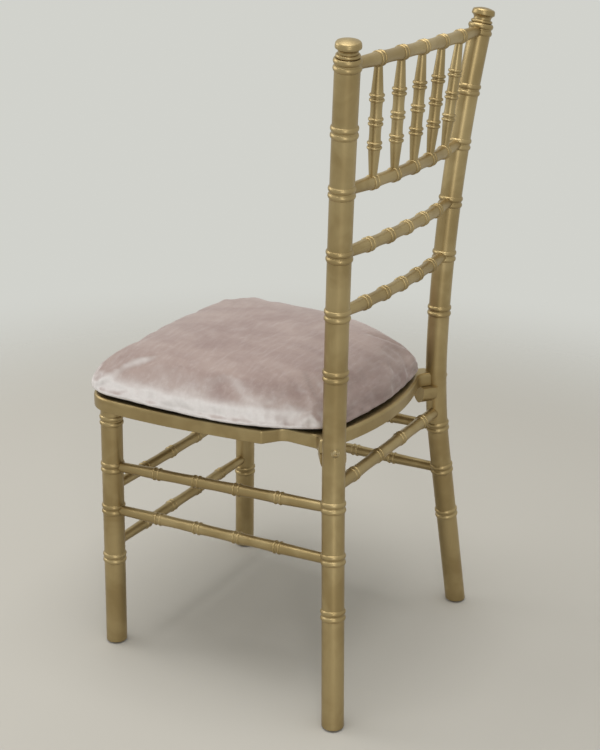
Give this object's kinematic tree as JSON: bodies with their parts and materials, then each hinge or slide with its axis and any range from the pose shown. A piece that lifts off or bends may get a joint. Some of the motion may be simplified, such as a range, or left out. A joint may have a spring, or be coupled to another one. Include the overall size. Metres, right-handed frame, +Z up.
{
  "type": "chiavari chair",
  "caption": "Light ballroom side chair turned to look like bamboo, with a ladder and spindle back, paired stretchers, a stepped seat frame and a loose velvet cushion",
  "frame": {"origin": "on the floor, under the middle of the whole chair's box", "axes": "+Z up, the sitter faces -Y, +X is the sitter's left"},
  "size_m": [0.4332, 0.4458, 0.9249],
  "materials": {
    "gold_wood": "turned wood under satin metallic gold paint",
    "panel_ply": "plywood panel under thin gold paint",
    "steel": "zinc-plated steel, a little paint mist",
    "glide_nylon": "dark nylon",
    "fastener_tape": "black woven hook and loop tape",
    "black_board": "thin board covered in black lining",
    "velvet": "crushed taupe-pink velvet with pale sheen"
  },
  "bodies": {
    "chair_frame": {"back_post_left": "gold_wood", "back_post_right": "gold_wood", "front_leg_left": "gold_wood", "front_leg_right": "gold_wood", "top_rail": "gold_wood", "spindle_rail": "gold_wood", "ladder_rail_upper": "gold_wood", "ladder_rail_lower": "gold_wood", "spindle_1": "gold_wood", "spindle_2": "gold_wood", "spindle_3": "gold_wood", "spindle_4": "gold_wood", "spindle_5": "gold_wood", "side_stretcher_upper_left": "gold_wood", "side_stretcher_upper_right": "gold_wood", "side_stretcher_lower_left": "gold_wood", "side_stretcher_lower_right": "gold_wood", "front_stretcher_upper": "gold_wood", "front_stretcher_lower": "gold_wood", "back_stretcher": "gold_wood", "seat_front_rail": "gold_wood", "seat_side_rail_left": "gold_wood", "seat_side_rail_right": "gold_wood", "seat_rear_corner_left": "gold_wood", "seat_rear_corner_right": "gold_wood", "seat_rear_rail": "gold_wood", "corner_block_left": "gold_wood", "corner_block_right": "gold_wood", "seat_panel": "panel_ply", "seat_bolts": "steel", "bolt_washers": "steel", "barrel_nuts": "steel", "front_leg_screws": "steel", "foot_glides": "glide_nylon", "hook_strips": "fastener_tape"},
    "cushion": {"loop_strips": "fastener_tape", "cushion_board": "black_board", "cushion_pad": "velvet"}
  },
  "joints": [
    {"name": "cushion_lift", "type": "slide", "parent": "chair_frame", "child": "cushion", "axis": [0, -0.7071, 0.7071], "range_m": [0, 0.6]}
  ]
}
